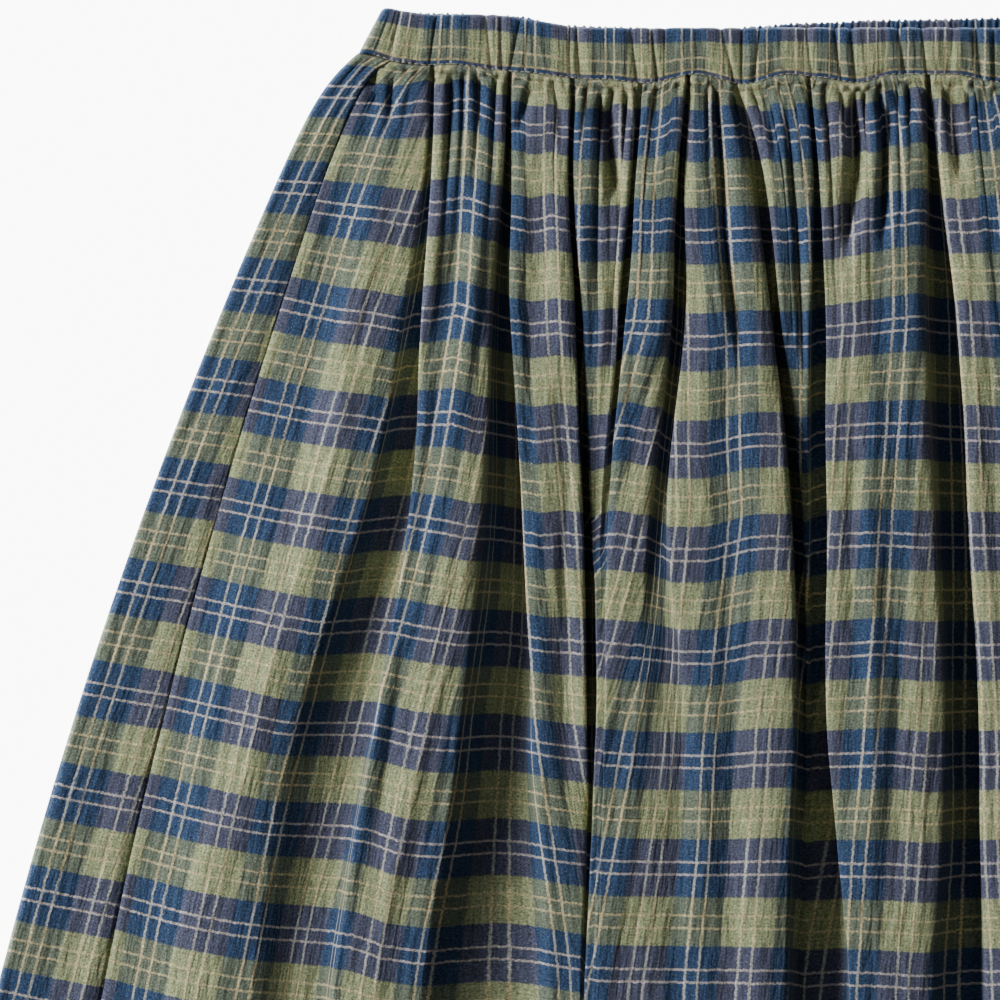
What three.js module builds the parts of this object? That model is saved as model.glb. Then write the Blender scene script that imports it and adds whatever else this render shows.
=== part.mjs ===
// Gathered check skirt, laid flat on its back with the front panel uppermost.
// Frame: X across, +Y towards the waist, +Z up, in millimetres.
// The origin ends up under the middle of the skirt, on the surface it lies on.
import * as THREE from 'three';

// ---------------------------------------------------------------- driving dimensions

const CLOTH = 1.0; // wall of the cloth
const SEAM_GAP = 0.3; // between pieces sewn to each other
const SKIRT_LENGTH = 700; // waist seam to hem, down the middle
const WAIST_HALF = 182; // half the flat width at the waist seam

const HIP_KICK = 10; // quick widening just under the waistband
const HIP_KICK_REACH = 10;
const FLARE = 0.47; // widening for each millimetre down
const FLARE_EASE = 0.00029; // and how fast it dies away
const SIDE_LIFT = 48; // how far the side edges ride up against the middle
const SIDE_LIFT_REACH = 500;

const SIDE_FOLD_HEIGHT = 5.4; // middle of the wall on top of a side fold
const SIDE_SEAM_HEIGHT = 6.0; // middle of the wall at a side seam
const SEAM_INSET = 14; // side seam to side edge at the waist
const SEAM_INSET_GROWTH = 0.1;
const SEAM_INSET_EASE = 0.00006;

// The relaxed waist sags towards the middle: each sag begins and ends so far in
// from the side edges.
const FRONT_SAGS = [
  { depth: 2.6, begins: 0, ends: 29 },
  { depth: 5.4, begins: 50, ends: 96 },
];
const BACK_SAGS = [{ depth: 3.4, begins: 0, ends: 140 }];

const BAND_HEIGHT = 19.6;
const BAND_THICKNESS = 3.0; // two layers of cloth over the elastic
const BAND_FRONT_HEIGHT = 6.2; // middle of the front half of the band
const BAND_BACK_HEIGHT = BAND_THICKNESS / 2;
const BAND_END_SLANT = 11; // the top edge is this much shorter at each end
const BAND_BULGE = 0.5;
const BAND_CREASE = 1.1;
const BAND_SCALLOP = 0.5;
const BAND_RUCHES = 36; // across the front
const BAND_BACK_RUFFLES = 46;
const BAND_CORNER = 1.3;
const BAND_TURN_STEPS = 6;
const RUCHE_STEPS = 4;
const RUFFLE_STEPS = 2;
const RUCHE_UNEVENNESS = 0.25;
const RUCHE_BEAT = 2.3; // how quickly the creases' depth changes along the band

const GATHER_DEPTH = 1.5; // half the height of a gather at the waist seam
const GATHER_REACH = 15;
const BRINK_DROP = 2.2; // how far a pleat rounds off before it dives
const FULL_PLEAT = 18;
const LIP_OVERHANG = 1.6; // how far a pleat leans out over its valley
const SIDE_RISE = 0.8; // share of a side pleat over which it rises from its seam
const SKEW_BEGINS = 100; // a valley's bottom moves across between these distances
const SKEW_ENDS = 300;

// ---------------------------------------------------------------- folds of the front panel

// Distances below the waist seam at which the fold tables give their values.
const LEVELS = [0, 40, 100, 175, 260, 370, 700];

// One row for each valley between pleats, from the wearer's right to left:
// left = where it starts across the front, width, floor = height of its bottom,
// skew = where its bottom lies between its two sides, at the waist and at the hem.
const VALLEYS = [
  {
    left: [-153, -155, -166, -177, -205, -224, -262],
    width: [2.4, 3.2, 5.6, 15.6, 31, 30, 34],
    floor: [3.6, 2.6, 2.4, 2.4, 2.6, 5, 5],
    skew: [0.4, 0.85],
  },
  {
    left: [-122, -124, -125.6, -131.6, -140.4, -156, -190],
    width: [2.4, 2.8, 3.4, 10.8, 22, 34, 40],
    floor: [3.6, 2.6, 2.4, 2.4, 2.4, 2.4, 4],
    skew: [0.5, 0.75],
  },
  {
    left: [-96.8, -97.6, -95.6, -91.6, -91.6, -97, -112],
    width: [2.4, 2.8, 3, 3.6, 5.2, 6, 18],
    floor: [3.6, 2.6, 2.4, 2.4, 2.4, 3, 6],
    skew: [0.5, 0.65],
  },
  {
    left: [-69.6, -73.2, -79.2, -81, -81, -81, -84],
    width: [2.4, 2.6, 4.4, 4, 4, 4, 4],
    floor: [3.6, 5, 9, 18.5, 19.6, 17.6, 12.4],
    skew: [0.5, 0.5],
  },
  {
    left: [-50.4, -53.6, -58, -64.8, -67, -70, -74],
    width: [2.4, 3.2, 3.6, 7.2, 18, 24, 30],
    floor: [3.6, 3.6, 3, 5, 13, 15, 10],
    skew: [0.5, 0.5],
  },
  {
    left: [-31.6, -24.8, -16, -8.8, -7.2, -10.4, -14],
    width: [2.4, 2.8, 4, 5.6, 5, 7, 12],
    floor: [3.6, 2.8, 2.4, 2.4, 2.4, 2.4, 4],
    skew: [0.5, 0.8],
  },
  {
    left: [-2.4, 0.4, -1.2, -1, -1, -2, 0],
    width: [2.4, 2.8, 6.4, 6.6, 6.6, 14.8, 16],
    floor: [3.6, 2.8, 2.4, 2.4, 2.4, 2.4, 4],
    skew: [0.5, 0.3],
  },
  {
    left: [45.6, 46.4, 45.6, 48, 51, 43.5, 44],
    width: [2.4, 3.6, 5, 14, 18, 28, 36],
    floor: [3.6, 2.6, 2.4, 2.4, 2.4, 2.4, 4],
    skew: [0.5, 0.6],
  },
  {
    left: [79, 82, 88, 93, 98, 104, 128],
    width: [2.4, 2.8, 4, 7, 10, 16, 26],
    floor: [3.6, 3, 2.6, 2.4, 2.4, 3, 5],
    skew: [0.5, 0.4],
  },
  {
    left: [113, 118, 126, 135, 145, 160, 194],
    width: [2.4, 2.8, 4, 9, 15, 22, 30],
    floor: [3.6, 2.6, 2.4, 2.4, 2.4, 3, 5],
    skew: [0.5, 0.3],
  },
  {
    left: [149, 155, 167, 180, 200, 218, 260],
    width: [2.4, 2.8, 5, 12, 18, 22, 26],
    floor: [3.6, 2.6, 2.4, 2.6, 3, 4, 5],
    skew: [0.5, 0.3],
  },
];

// One row for each pleat, the first and last ending at the side seams:
// gathers = small tucks it takes at the waist, crest = height of its top.
const PLEATS = [
  { gathers: 3, crest: [6.6, 8.4, 9.6, 10.6, 11.4, 9.4, 7] },
  { gathers: 5, crest: [7, 14, 17.5, 19, 20, 17, 12] },
  { gathers: 4, crest: [7, 13.4, 16.5, 17.5, 17, 15, 11] },
  { gathers: 5, crest: [7, 14.4, 17.5, 19.6, 21, 19, 13] },
  { gathers: 3, crest: [7, 13.4, 17, 19, 20, 18, 12.6] },
  { gathers: 3, crest: [7, 13.6, 17.5, 19.8, 21, 19, 13] },
  { gathers: 5, crest: [7, 11, 8.4, 3, 2.8, 2.8, 5] },
  { gathers: 8, crest: [7, 14.6, 18.5, 21, 21, 19, 13] },
  { gathers: 5, crest: [7, 13.4, 16.8, 18.4, 18.6, 16.6, 12] },
  { gathers: 6, crest: [7, 14.2, 17.6, 19.2, 19.4, 17, 12] },
  { gathers: 6, crest: [7, 13.4, 16, 17.2, 17.4, 15, 11] },
  { gathers: 4, crest: [6.6, 8.4, 9.8, 11, 11, 9.2, 7] },
];

const FINE_ROWS = [0, 7, 22];
const COARSE_ROWS = [40, 75, 120, 180, 260, 370, 520, SKIRT_LENGTH];
const VALLEY_STEPS = 4; // columns of a valley where the mesh is coarse
const STEPS_PER_GATHER = 2;
const BACK_TOP_STEPS = 4; // columns of the back panel on top, round a fold and underneath
const BACK_FOLD_STEPS = 5;
const BACK_UNDER_STEPS = 18;

// ---------------------------------------------------------------- shared curves

function smooth(from, to, value) {
  return THREE.MathUtils.smoothstep(value, from, to);
}

// Value of a fold table's column at a distance below the seam, on one smooth curve.
function along(values, distance) {
  const last = LEVELS.length - 1;
  let i = 0;
  while (i < last - 1 && distance > LEVELS[i + 1]) {
    i += 1;
  }
  const slope = (k) => {
    const before = Math.max(k - 1, 0);
    const after = Math.min(k + 1, last);
    return (values[after] - values[before]) / (LEVELS[after] - LEVELS[before]);
  };
  const span = LEVELS[i + 1] - LEVELS[i];
  const t = THREE.MathUtils.clamp((distance - LEVELS[i]) / span, 0, 1);
  const rise = values[i + 1] - values[i];
  const startBend = slope(i) * span - rise;
  const endBend = rise - slope(i + 1) * span;
  return values[i] + rise * t + t * (1 - t) * (startBend * (1 - t) + endBend * t);
}

// Half the flat width of the skirt at a distance below the seam.
function halfWidth(distance) {
  const kick = HIP_KICK * (1 - Math.exp(-distance / HIP_KICK_REACH));
  return WAIST_HALF + kick + FLARE * distance - FLARE_EASE * distance * distance;
}

// Distance of the side seam from the middle.
function seamPlace(distance) {
  const inset = SEAM_INSET + SEAM_INSET_GROWTH * distance - SEAM_INSET_EASE * distance * distance;
  return halfWidth(distance) - inset;
}

// Distance below the seam of a point x across on the row cut `down` from the waist.
function rowDistance(x, down) {
  const lift = SIDE_LIFT * (1 - Math.exp(-down / SIDE_LIFT_REACH));
  const across = Math.min(Math.abs(x) / halfWidth(down), 1);
  return down - lift * across ** 3;
}

// Where a row crosses the side seam.
function seamOnRow(down) {
  return seamPlace(rowDistance(seamPlace(down), down));
}

// How far the waist seam sags at a place across.
function sagAt(x, sags) {
  const inward = WAIST_HALF - Math.abs(x);
  return sags.reduce((sum, sag) => sum + sag.depth * smooth(sag.begins, sag.ends, inward), 0);
}

// ---------------------------------------------------------------- sections of the cloth

// Columns across the front panel: each names its pleat or valley and a share 0 to 1.
function frontColumns(fineness) {
  const columns = [];
  PLEATS.forEach((pleat, index) => {
    const pleatSteps = pleat.gathers * STEPS_PER_GATHER * fineness;
    for (let k = 0; k <= pleatSteps; k += 1) {
      columns.push({ pleat: index, share: k / pleatSteps });
    }
    const valleySteps = VALLEY_STEPS * fineness;
    for (let k = 1; index < VALLEYS.length && k < valleySteps; k += 1) {
      columns.push({ valley: index, share: k / valleySteps });
    }
  });
  return columns;
}

function pleatStart(index, distance) {
  if (index === 0) {
    return -seamPlace(distance) + SEAM_GAP / 2;
  }
  const valley = VALLEYS[index - 1];
  return along(valley.left, distance) + along(valley.width, distance);
}

function pleatEnd(index, distance) {
  if (index === VALLEYS.length) {
    return seamPlace(distance) - SEAM_GAP / 2;
  }
  return along(VALLEYS[index].left, distance);
}

// Height of a pleat's cloth at a share of its width. It rounds off towards each
// valley, falls to the seam height at a side seam, and carries the small gathers.
function pleatHeight(index, share, distance) {
  const crest = along(PLEATS[index].crest, distance);
  const drop = BRINK_DROP * Math.min(crest / FULL_PLEAT, 1) * smooth(0, LEVELS[1], distance);
  const turn = 2 * Math.PI * PLEATS[index].gathers * share;
  const gather = GATHER_DEPTH * Math.exp(-distance / GATHER_REACH) * (1 - Math.cos(turn));
  if (index > 0 && index < VALLEYS.length) {
    return crest - drop * (2 * share - 1) ** 4 - gather;
  }
  const fromSeam = index === 0 ? share : 1 - share;
  const rise = (crest - SIDE_SEAM_HEIGHT) * smooth(0, SIDE_RISE, fromSeam);
  return SIDE_SEAM_HEIGHT + rise - drop * fromSeam ** 6 - gather;
}

function frontPoint(column, distance) {
  if (column.pleat !== undefined) {
    const start = pleatStart(column.pleat, distance);
    const end = pleatEnd(column.pleat, distance);
    return {
      x: THREE.MathUtils.lerp(start, end, column.share),
      z: pleatHeight(column.pleat, column.share, distance),
    };
  }
  const valley = VALLEYS[column.valley];
  const floor = along(valley.floor, distance);
  const shift = smooth(SKEW_BEGINS, SKEW_ENDS, distance);
  const skew = THREE.MathUtils.lerp(valley.skew[0], valley.skew[1], shift);
  const onLeft = column.share < skew;
  const wall = onLeft ? 1 - column.share / skew : (column.share - skew) / (1 - skew);
  const brink = onLeft
    ? pleatHeight(column.valley, 1, distance)
    : pleatHeight(column.valley + 1, 0, distance);
  const depth = Math.max(brink - floor, 0);
  const lean = LIP_OVERHANG * (depth / FULL_PLEAT) * 4 * wall * (1 - wall);
  const x = along(valley.left, distance) + along(valley.width, distance) * column.share;
  return {
    x: onLeft ? x - lean / 2 : x + lean,
    z: floor + (brink - floor) * wall ** 2,
  };
}

// Middle of the front panel's wall along one row.
function frontRow(down, fineness) {
  return frontColumns(fineness).map((column) => {
    const rough = frontPoint(column, down);
    const distance = rowDistance(rough.x, down);
    const point = frontPoint(column, distance);
    return new THREE.Vector3(point.x, -sagAt(point.x, FRONT_SAGS) - distance, point.z);
  });
}

// Middle of the back panel's wall along one row: from the left side seam on top, round
// the left fold, across underneath, round the right fold and up to the right seam.
function backRow(down) {
  const edge = rowDistance(halfWidth(down), down);
  const under = CLOTH / 2;
  const radius = (SIDE_FOLD_HEIGHT - under) / 2;
  const foldX = halfWidth(edge) - CLOTH / 2 - radius;
  const seamX = seamOnRow(down) + SEAM_GAP / 2;
  const side = [];
  for (let k = 0; k < BACK_TOP_STEPS; k += 1) {
    const share = k / BACK_TOP_STEPS;
    const x = THREE.MathUtils.lerp(seamX, foldX, share);
    const z = THREE.MathUtils.lerp(SIDE_SEAM_HEIGHT, SIDE_FOLD_HEIGHT, smooth(0, 1, share));
    side.push({ x, z });
  }
  for (let k = 0; k <= BACK_FOLD_STEPS; k += 1) {
    const angle = Math.PI * (0.5 - k / BACK_FOLD_STEPS);
    side.push({ x: foldX + radius * Math.cos(angle), z: under + radius + radius * Math.sin(angle) });
  }
  const left = side.map(({ x, z }) => ({ x: -x, z }));
  const middle = [];
  for (let k = 1; k < BACK_UNDER_STEPS; k += 1) {
    middle.push({ x: foldX * (2 * k / BACK_UNDER_STEPS - 1), z: under });
  }
  return [...left, ...middle, ...side.reverse()].map(({ x, z }) => {
    const sag = sagAt(x, z > under + radius ? FRONT_SAGS : BACK_SAGS);
    return new THREE.Vector3(x, -sag - rowDistance(x, down), z);
  });
}

// ---------------------------------------------------------------- closed walls

// Offsets a row's points square to the section, in the plane across the skirt.
function offsetRow(row, amount) {
  return row.map((point, k) => {
    const before = row[Math.max(k - 1, 0)];
    const after = row[Math.min(k + 1, row.length - 1)];
    const across = new THREE.Vector2(after.x - before.x, after.z - before.z).normalize();
    return new THREE.Vector3(point.x - across.y * amount, point.y, point.z + across.x * amount);
  });
}

class ClosedMesh {
  constructor() {
    this.positions = [];
    this.indices = [];
  }

  addRow(points) {
    const first = this.positions.length / 3;
    points.forEach((point) => this.positions.push(point.x, point.y, point.z));
    return points.map((_, k) => first + k);
  }

  quad(a, b, c, d) {
    this.indices.push(a, b, c, a, c, d);
  }

  // Joins two rows of vertex numbers; the lower row may hold half as many columns.
  joinRows(upper, lower, flipped) {
    const ratio = Math.round((upper.length - 1) / (lower.length - 1));
    const add = (a, b, c) => this.indices.push(...(flipped ? [a, c, b] : [a, b, c]));
    for (let k = 0; k < lower.length - 1; k += 1) {
      const u = k * ratio;
      for (let step = 0; step < ratio; step += 1) {
        add(upper[u + step], lower[k], upper[u + step + 1]);
      }
      add(lower[k], lower[k + 1], upper[u + ratio]);
    }
  }

  toGeometry() {
    const geometry = new THREE.BufferGeometry();
    geometry.setAttribute('position', new THREE.Float32BufferAttribute(this.positions, 3));
    geometry.setIndex(this.indices);
    geometry.computeVertexNormals();
    return geometry;
  }
}

// A wall of cloth through rows of middle points, closed all round its edges.
function clothWall(rows) {
  const mesh = new ClosedMesh();
  const outer = rows.map((row) => mesh.addRow(offsetRow(row, CLOTH / 2)));
  const inner = rows.map((row) => mesh.addRow(offsetRow(row, -CLOTH / 2)));
  for (let r = 0; r < rows.length - 1; r += 1) {
    mesh.joinRows(outer[r], outer[r + 1], false);
    mesh.joinRows(inner[r], inner[r + 1], true);
    const end = outer[r].length - 1;
    const nextEnd = outer[r + 1].length - 1;
    mesh.quad(outer[r][0], inner[r][0], inner[r + 1][0], outer[r + 1][0]);
    mesh.quad(inner[r][end], outer[r][end], outer[r + 1][nextEnd], inner[r + 1][nextEnd]);
  }
  const last = rows.length - 1;
  for (let k = 0; k < outer[0].length - 1; k += 1) {
    mesh.quad(inner[0][k], outer[0][k], outer[0][k + 1], inner[0][k + 1]);
  }
  for (let k = 0; k < outer[last].length - 1; k += 1) {
    mesh.quad(outer[last][k], inner[last][k], inner[last][k + 1], outer[last][k + 1]);
  }
  return mesh.toGeometry();
}

// ---------------------------------------------------------------- waistband

// Columns round the flattened band: the front half from left to right with its ruches,
// the right turn, the back half with its small ruffles, and the left turn.
function bandColumns() {
  const radius = (BAND_FRONT_HEIGHT - BAND_BACK_HEIGHT) / 2;
  const turnX = WAIST_HALF - BAND_THICKNESS / 2 - radius;
  const middleZ = BAND_BACK_HEIGHT + radius;
  const columns = [];
  const addTurn = (side, startAngle) => {
    for (let k = 1; k < BAND_TURN_STEPS; k += 1) {
      const angle = startAngle - Math.PI * k / BAND_TURN_STEPS;
      const nx = Math.cos(angle);
      const nz = Math.sin(angle);
      const x = side * turnX + radius * nx;
      columns.push({ x, z: middleZ + radius * nz, nx, nz, crease: 0, scallop: 0, sag: 0 });
    }
  };
  const frontSteps = BAND_RUCHES * RUCHE_STEPS;
  for (let k = 0; k <= frontSteps; k += 1) {
    const x = turnX * (2 * k / frontSteps - 1);
    const beat = Math.sin(RUCHE_BEAT * Math.floor(k / RUCHE_STEPS));
    const onCrease = k % RUCHE_STEPS === RUCHE_STEPS / 2;
    const crease = onCrease ? 1 - RUCHE_UNEVENNESS * (1 - beat) : 0;
    const sag = sagAt(x, FRONT_SAGS);
    columns.push({ x, z: BAND_FRONT_HEIGHT, nx: 0, nz: 1, crease, scallop: -crease, sag });
  }
  addTurn(1, Math.PI / 2);
  const backSteps = BAND_BACK_RUFFLES * RUFFLE_STEPS;
  for (let k = 0; k <= backSteps; k += 1) {
    const x = turnX * (1 - 2 * k / backSteps);
    const scallop = k % RUFFLE_STEPS === 1 ? -1 : 0;
    const sag = sagAt(x, BACK_SAGS);
    columns.push({ x, z: BAND_BACK_HEIGHT, nx: 0, nz: -1, crease: 0, scallop, sag });
  }
  addTurn(-1, -Math.PI / 2);
  return columns;
}

// Section of the band at one column: up its outside, over the rounded top, down inside.
function bandSection(column) {
  const half = BAND_THICKNESS / 2;
  const top = BAND_HEIGHT + BAND_SCALLOP * column.scallop;
  const onFront = Math.max(column.nz, 0);
  const outside = half - BAND_CREASE * column.crease;
  const bulge = BAND_BULGE * onFront;
  const outline = [
    { height: 0, offset: outside },
    { height: BAND_HEIGHT / 2, offset: outside + bulge },
    { height: top - BAND_CORNER, offset: outside },
    { height: top, offset: 0 },
    { height: top - BAND_CORNER, offset: -half },
    { height: 0, offset: -half },
  ];
  return outline.map(({ height, offset }) => {
    const shrink = 1 - BAND_END_SLANT * height / BAND_HEIGHT / WAIST_HALF;
    return new THREE.Vector3(
      (column.x + column.nx * offset) * shrink,
      SEAM_GAP + height - column.sag,
      column.z + column.nz * offset,
    );
  });
}

function waistbandGeometry() {
  const mesh = new ClosedMesh();
  const rings = bandColumns().map((column) => mesh.addRow(bandSection(column)));
  rings.forEach((ring, k) => {
    const next = rings[(k + 1) % rings.length];
    ring.forEach((vertex, p) => {
      const q = (p + 1) % ring.length;
      mesh.quad(vertex, next[p], next[q], ring[q]);
    });
  });
  return mesh.toGeometry();
}

// ---------------------------------------------------------------- the skirt

function piece(name, geometry, colour) {
  const material = new THREE.MeshStandardMaterial({ color: colour, roughness: 0.9, metalness: 0 });
  const mesh = new THREE.Mesh(geometry, material);
  mesh.name = name;
  return mesh;
}

function buildSkirt() {
  const frontRows = [
    ...FINE_ROWS.map((down) => frontRow(down, 2)),
    ...COARSE_ROWS.map((down) => frontRow(down, 1)),
  ];
  const backRows = [...FINE_ROWS, ...COARSE_ROWS].map((down) => backRow(down));
  const skirt = new THREE.Group();
  skirt.name = 'gathered_skirt';
  skirt.add(piece('front_panel', clothWall(frontRows), 0x5b6b66));
  skirt.add(piece('back_panel', clothWall(backRows), 0x55656a));
  skirt.add(piece('waistband', waistbandGeometry(), 0x6d7a63));
  const box = new THREE.Box3().setFromObject(skirt);
  const centre = box.getCenter(new THREE.Vector3());
  skirt.position.set(-centre.x, -centre.y, -box.min.z);
  return skirt;
}

export default buildSkirt();
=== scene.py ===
"""Gathered check skirt, laid flat on its back: the cloth, its check and the studio."""

from collections import namedtuple

import bpy
import numpy as np
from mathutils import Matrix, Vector


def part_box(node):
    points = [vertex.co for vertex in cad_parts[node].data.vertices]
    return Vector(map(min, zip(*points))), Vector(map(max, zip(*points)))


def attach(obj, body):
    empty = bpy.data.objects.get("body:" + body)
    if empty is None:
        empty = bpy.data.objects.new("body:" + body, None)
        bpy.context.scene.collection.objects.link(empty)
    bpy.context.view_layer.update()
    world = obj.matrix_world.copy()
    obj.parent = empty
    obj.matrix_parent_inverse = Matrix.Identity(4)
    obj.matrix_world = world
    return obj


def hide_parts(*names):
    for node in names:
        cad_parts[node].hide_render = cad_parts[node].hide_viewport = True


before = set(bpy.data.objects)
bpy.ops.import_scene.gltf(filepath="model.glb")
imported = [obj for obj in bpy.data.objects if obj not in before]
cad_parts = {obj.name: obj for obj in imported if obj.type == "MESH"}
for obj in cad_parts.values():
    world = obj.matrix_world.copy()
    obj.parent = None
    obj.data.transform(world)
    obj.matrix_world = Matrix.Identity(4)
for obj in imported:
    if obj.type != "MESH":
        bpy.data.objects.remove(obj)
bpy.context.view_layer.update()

MM = 0.001

# ---- sizes, in millimetres

SKIRT_LENGTH = 700.0
WAIST_HALF = 182.0
HIP_KICK, HIP_KICK_REACH = 10.0, 10.0
FLARE, FLARE_EASE = 0.47, 0.00029
SIDE_LIFT, SIDE_LIFT_REACH = 48.0, 500.0
SEAM_INSET, SEAM_INSET_GROWTH, SEAM_INSET_EASE = 14.0, 0.1, 0.00006
SIDE_FOLD_HEIGHT, SIDE_SEAM_HEIGHT = 5.4, 6.0
FRONT_SAGS = [(2.6, 0, 29), (5.4, 50, 96)]  # depth, begins, ends
BACK_SAGS = [(3.4, 0, 140)]
# How far the elastic lets the waist seam, and the back's own top edge, droop from these.
SEAM_DROOPS = [
    (-182, -1.6), (-165, 0.8), (-153, 1.0), (-145, 0.6), (-125, 2.7), (-101, 1.4), (-85, 1.2),
    (-66, 2.8), (-46, -0.8), (-27, 3.2), (-9, -0.8), (3, 0.4), (18, 2.8), (34, -0.8), (56, -0.8),
    (76, 2.4), (94, -0.6), (112, 2.6), (128, -0.4), (146, 2.2), (164, 0.4), (182, -1.2),
]
BACK_DROOPS = [
    (-182, 0.5), (-168, 1.8), (-148, 1.6), (-117, 1.8), (-101, 4.7), (-69, 4.8), (-45, 6.2),
    (-37, 5.4), (-21, 3.8), (-5, 2.6), (11, 2.2), (23, 1.4), (58, 1.0), (140, 0.6), (182, 0),
]
SEAM_DROOP_REACH, BACK_DROOP_REACH = 10.0, 60.0

CLOTH = 0.7  # wall of the cloth
HEM_EXTRA = 0.5  # the turned hem's second layer
HEM_DEPTH, HEM_STEP = 20.0, 3.0
THREAD_RADIUS, SEAM_PITCH, HEM_PITCH = 0.2, 2.6, 3.4  # of the stitches
SEAM_GAP = 0.3

BAND_HEIGHT, BAND_THICKNESS = 19.6, 3.0
BAND_FRONT_HEIGHT, BAND_BACK_HEIGHT = 6.2, 1.5
BAND_END_SLANT, END_SLANT_REACH = 11.0, 15.0

GATHER_DEPTH, GATHER_REACH, SLIT_WIDTH = 1.5, 15.0, 0.1
TUCK_ROUND, TUCK_SLIT = 0.32, 1.9  # parts of a tuck's depth in its round form and its slit
TUCK_SHIFT, TUCK_UNEVEN = 0.36, 0.75  # in the tucks' spacing and depth
# Turn and start of the sines that scatter the tucks' depths, reaches and staggers.
DEPTH_SCATTER, REACH_SCATTER, STAGGER_SCATTER = (12.9898, 4.1), (78.233, 1.7), (47.1, 0.0)
LEFT_BRINK_DROP, RIGHT_BRINK_DROP, BRINK_ROUND = 1.4, 1.3, 8.0
FULL_PLEAT, FULL_STEP, LIP_OVERHANG = 18.0, 7.0, 2.0
TUCKED_UNDER, FAR_WALL_CURVE = 2.0, 4.0
SIDE_RISE = 0.8
PUCKER_REACH, PUCKER_SLANT = 8.0, 0.25  # of the fine puckers where the gathers begin
SEAM_GROOVE, SEAM_GROOVE_HALF = 0.3, 0.8  # along the seams
ALLOWANCE_RIDGE, ALLOWANCE_GROOVE = 0.5, 0.3  # over and below a seam's turned edges
ALLOWANCE_RISE, ALLOWANCE_FALL, GROOVE_PLACE = (-0.2, 0.7), (1.8, 4.2), 3.5
SIDE_RISE_SPAN, SIDE_FALL_SPAN = (1.5, 3.5), (8, 11)  # of the ridge beside a side seam
RIPPLES_BEGIN, FOLDS_BEGIN = (4, 14), (20, 90)  # below the waist seam
CREASE_TAPER = 0.3  # share of a crease's length
LOWEST_MIDDLE, UNDERSIDE = 1.9, 0.5  # middle of the front's wall at its lowest, and of the back's
TUCK_STAGGER, STAGGER_REACH = 2.2, 30.0  # unevenness of the check's rows at the tucks
VALLEY_TUCKS = 0.35  # share of a tuck's depth carried into the valley beside it
BACK_TUCK, BACK_TUCK_DEPTH, BACK_TUCK_REACH = 4.6, 1.1, 13.0
UNDERSIDE_EXTRA = 0.3  # thickness added to the back's wall where it lies on the floor
CHECK_MEETS = (0.12, 0.88)  # shares of a back row between which its check is eased to fit
SKEW_BEGINS, SKEW_ENDS = 100.0, 300.0

WARP_REPEAT, WEFT_REPEAT = 41.2, 43.3  # of the check
NAVY_BAND, GREEN_BAND = 23.3, 20.0
FIRST_NAVY = 5.5
PAIR_SPACING, LINE_WIDTH = 5.1, 0.82
WEFT_TAKE_UP, WEFT_TAKE_UP_REACH = 5.5, 50.0  # of the cloth in the gathers, down
WARP_TAKE_UP, WARP_TAKE_UP_REACH = 0.35, 12.0  # and across
EDGE_STRIPE = 11.0  # side edge to the nearest stripe of the back
BACK_REPEATS = 18  # of the check between the back's two edge stripes

WAIST_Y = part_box("waistband")[1].y / MM - (SEAM_GAP + BAND_HEIGHT)

# ---- folds of the front panel

# Distances below the waist seam at which the fold tables give their values.
LEVELS = np.array([0, 40, 100, 175, 260, 370, 700.0])


def table(columns, rows):
    """The rows of a table, with their columns by name."""
    Row = namedtuple("Row", columns)
    return [Row(*row) for row in rows]


# The valleys between pleats: left edge, width and height of the bottom at LEVELS, and the
# bottom's place between the two sides, as a share, at the hem. At the waist it is midway.
VALLEYS = table("left width floor skew", [
    ([-153, -155, -163, -177, -205, -224, -262], [2.4, 3.2, 7.4, 17, 31.5, 33, 38],
     [5.4, 2.6, 2.4, 2.4, 2.6, 5, 5], 0.86),
    ([-122, -123.6, -128.4, -131.6, -140.4, -156, -190], [2.4, 3.4, 8.6, 16, 29, 50, 58],
     [5.4, 2.6, 2.4, 2.4, 2.4, 2.4, 4], 0.9),
    ([-96.8, -97.6, -95.2, -92.4, -90.6, -92.8, -104], [2.4, 2.8, 3.6, 4.2, 4.8, 1.8, 5],
     [5.4, 2.6, 2.4, 2.4, 3.4, 8.6, 7.6], 0.65),
    ([-69.6, -73, -77.2, -84.4, -84.4, -88, -94], [2.4, 2.6, 2.6, 3, 2, 2, 2],
     [5.4, 3.4, 4, 13, 19.4, 17.6, 12.4], 0.5),
    ([-50.4, -53.6, -57, -64.8, -70.5, -78, -86], [2.4, 3.2, 6, 7.2, 20, 30, 36],
     [5.4, 4, 6.5, 15, 19, 18, 12], 0.5),
    ([-31.6, -24.8, -16, -8.8, -7.2, -10.4, -14], [2.4, 6, 4.4, 5.6, 5, 7, 12],
     [5.4, 2.8, 2.4, 2.4, 2.4, 2.4, 4], 0.8),
    ([-2.4, 0.4, -1.2, -1, -1, -2, 0], [2.4, 2.8, 6.4, 6.6, 7.6, 17.5, 19],
     [5.4, 2.8, 2.4, 2.4, 2.4, 2.4, 4], 0.3),
    ([45.6, 46, 45, 48, 52, 48, 48], [2.4, 6, 13.5, 15, 15, 22, 30],
     [5.4, 2.6, 2.4, 2.4, 2.4, 2.4, 4], 0.85),
    ([79, 82, 88, 93, 98, 104, 128], [2.4, 2.8, 4, 7, 10, 16, 26],
     [5.4, 3, 2.6, 2.4, 2.4, 3, 5], 0.4),
    ([113, 118, 126, 135, 145, 160, 194], [2.4, 2.8, 4, 9, 15, 22, 30],
     [5.4, 2.6, 2.4, 2.4, 2.4, 3, 5], 0.3),
    ([149, 155, 167, 180, 200, 218, 260], [2.4, 2.8, 5, 12, 18, 22, 26],
     [5.4, 2.6, 2.4, 2.6, 3, 4, 5], 0.3),
])

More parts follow.
